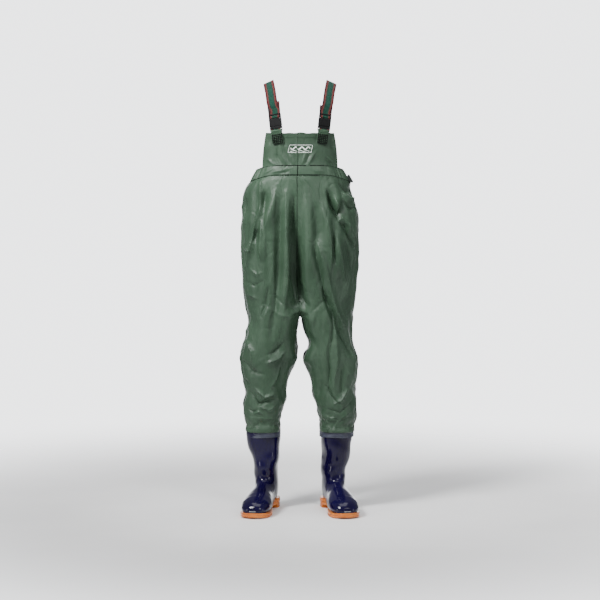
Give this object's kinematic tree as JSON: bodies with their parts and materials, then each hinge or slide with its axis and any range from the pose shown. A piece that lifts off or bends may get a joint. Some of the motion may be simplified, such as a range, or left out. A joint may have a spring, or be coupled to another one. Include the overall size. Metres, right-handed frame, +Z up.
{
  "type": "chest waders",
  "caption": "Waterproof bib trousers with boots welded to the legs, shoulder straps on side-release buckles and a waist belt.",
  "frame": {"origin": "floor level, under the middle of the whole object seen from above", "axes": "+Z up, the wearer faces -Y, +X is the wearer's left"},
  "size_m": [0.4222, 0.3637, 1.5215],
  "materials": {
    "coated_fabric": "green woven fabric with a satin waterproof coating",
    "facing_fabric": "darker inner side of the coated fabric",
    "seam_tape": "welded seam tape in the fabric's own green",
    "thread": "dark bonded thread",
    "tab_fabric": "green coated fabric, doubled",
    "elastic_webbing": "woven elastic, dark teal with coloured stripes at both edges",
    "belt_webbing": "woven dark webbing",
    "buckle_plastic": "moulded black acetal",
    "boot_pvc": "glossy moulded navy PVC",
    "outsole_rubber": "amber rubber outsole",
    "insole_felt": "grey felt insole",
    "cuff_rubber": "dark band that seals trouser to boot"
  },
  "bodies": {
    "garment": {"back_centre_seam_tape": "seam_tape", "back_panel_left": "coated_fabric", "back_panel_right": "coated_fabric", "back_yoke": "coated_fabric", "back_yoke_facing": "facing_fabric", "bib_hem_facing": "facing_fabric", "bib_panel": "coated_fabric", "front_centre_seam_tape": "seam_tape", "front_panel_left": "coated_fabric", "front_panel_right": "coated_fabric", "left_boot_insole": "insole_felt", "left_boot_outsole": "outsole_rubber", "left_boot_upper": "boot_pvc", "left_buckle_plug": "buckle_plastic", "left_cuff_band": "cuff_rubber", "left_leg_seam_tape": "seam_tape", "left_strap_back": "elastic_webbing", "left_strap_end_stitching": "thread", "left_strap_tab": "tab_fabric", "left_tab_stitching": "thread", "right_boot_insole": "insole_felt", "right_boot_outsole": "outsole_rubber", "right_boot_upper": "boot_pvc", "right_buckle_plug": "buckle_plastic", "right_cuff_band": "cuff_rubber", "right_leg_seam_tape": "seam_tape", "right_strap_back": "elastic_webbing", "right_strap_end_stitching": "thread", "right_strap_tab": "tab_fabric", "right_tab_stitching": "thread", "waist_belt": "belt_webbing", "waist_belt_front_end": "belt_webbing", "waist_buckle_plug": "buckle_plastic", "waist_casing_back": "coated_fabric", "waist_casing_front": "coated_fabric"},
    "left_buckle_socket": {"left_buckle_socket": "buckle_plastic", "left_strap_front": "elastic_webbing"},
    "left_buckle_arm_inner": {"left_buckle_arm_inner": "buckle_plastic"},
    "left_buckle_arm_outer": {"left_buckle_arm_outer": "buckle_plastic"},
    "right_buckle_socket": {"right_buckle_socket": "buckle_plastic", "right_strap_front": "elastic_webbing"},
    "right_buckle_arm_inner": {"right_buckle_arm_inner": "buckle_plastic"},
    "right_buckle_arm_outer": {"right_buckle_arm_outer": "buckle_plastic"},
    "waist_buckle_socket": {"waist_buckle_socket": "buckle_plastic", "waist_belt_rear_end": "belt_webbing"},
    "waist_buckle_arm_upper": {"waist_buckle_arm_upper": "buckle_plastic"},
    "waist_buckle_arm_lower": {"waist_buckle_arm_lower": "buckle_plastic"}
  },
  "joints": [
    {"name": "left_buckle_release", "type": "slide", "parent": "garment", "child": "left_buckle_socket", "axis": [0.1114, 0.1201, 0.9865], "range_m": [0, 0.024], "deforming": ["left_buckle_arm_inner", "left_buckle_arm_outer"]},
    {"name": "left_buckle_press_inner", "type": "hinge", "parent": "garment", "child": "left_buckle_arm_inner", "pos_m": [0.07052, -0.05886, 1.36092], "axis": [-0.2696, 0.9591, -0.0863], "range_deg": [0, 9], "stiffness_Nm_per_rad": 0.02},
    {"name": "left_buckle_press_outer", "type": "hinge", "parent": "garment", "child": "left_buckle_arm_outer", "pos_m": [0.09731, -0.05168, 1.35702], "axis": [0.2696, -0.9591, 0.0863], "range_deg": [0, 9], "stiffness_Nm_per_rad": 0.02},
    {"name": "right_buckle_release", "type": "slide", "parent": "garment", "child": "right_buckle_socket", "axis": [-0.1114, 0.1201, 0.9865], "range_m": [0, 0.024], "deforming": ["right_buckle_arm_outer", "right_buckle_arm_inner"]},
    {"name": "right_buckle_press_outer", "type": "hinge", "parent": "garment", "child": "right_buckle_arm_outer", "pos_m": [-0.09731, -0.05168, 1.35702], "axis": [0.2696, 0.9591, -0.0863], "range_deg": [0, 9], "stiffness_Nm_per_rad": 0.02},
    {"name": "right_buckle_press_inner", "type": "hinge", "parent": "garment", "child": "right_buckle_arm_inner", "pos_m": [-0.07052, -0.05886, 1.36092], "axis": [-0.2696, -0.9591, 0.0863], "range_deg": [0, 9], "stiffness_Nm_per_rad": 0.02},
    {"name": "waist_buckle_release", "type": "slide", "parent": "garment", "child": "waist_buckle_socket", "axis": [0, 1, 0], "range_m": [0, 0.017], "deforming": ["waist_buckle_arm_upper", "waist_buckle_arm_lower", "waist_belt_rear_end"]},
    {"name": "waist_buckle_press_upper", "type": "hinge", "parent": "garment", "child": "waist_buckle_arm_upper", "pos_m": [0.17247, 0.03704, 1.18309], "axis": [-0.866, 0, -0.5], "range_deg": [0, 9], "stiffness_Nm_per_rad": 0.02},
    {"name": "waist_buckle_press_lower", "type": "hinge", "parent": "garment", "child": "waist_buckle_arm_lower", "pos_m": [0.18227, 0.03704, 1.16611], "axis": [0.866, 0, 0.5], "range_deg": [0, 9], "stiffness_Nm_per_rad": 0.02}
  ]
}
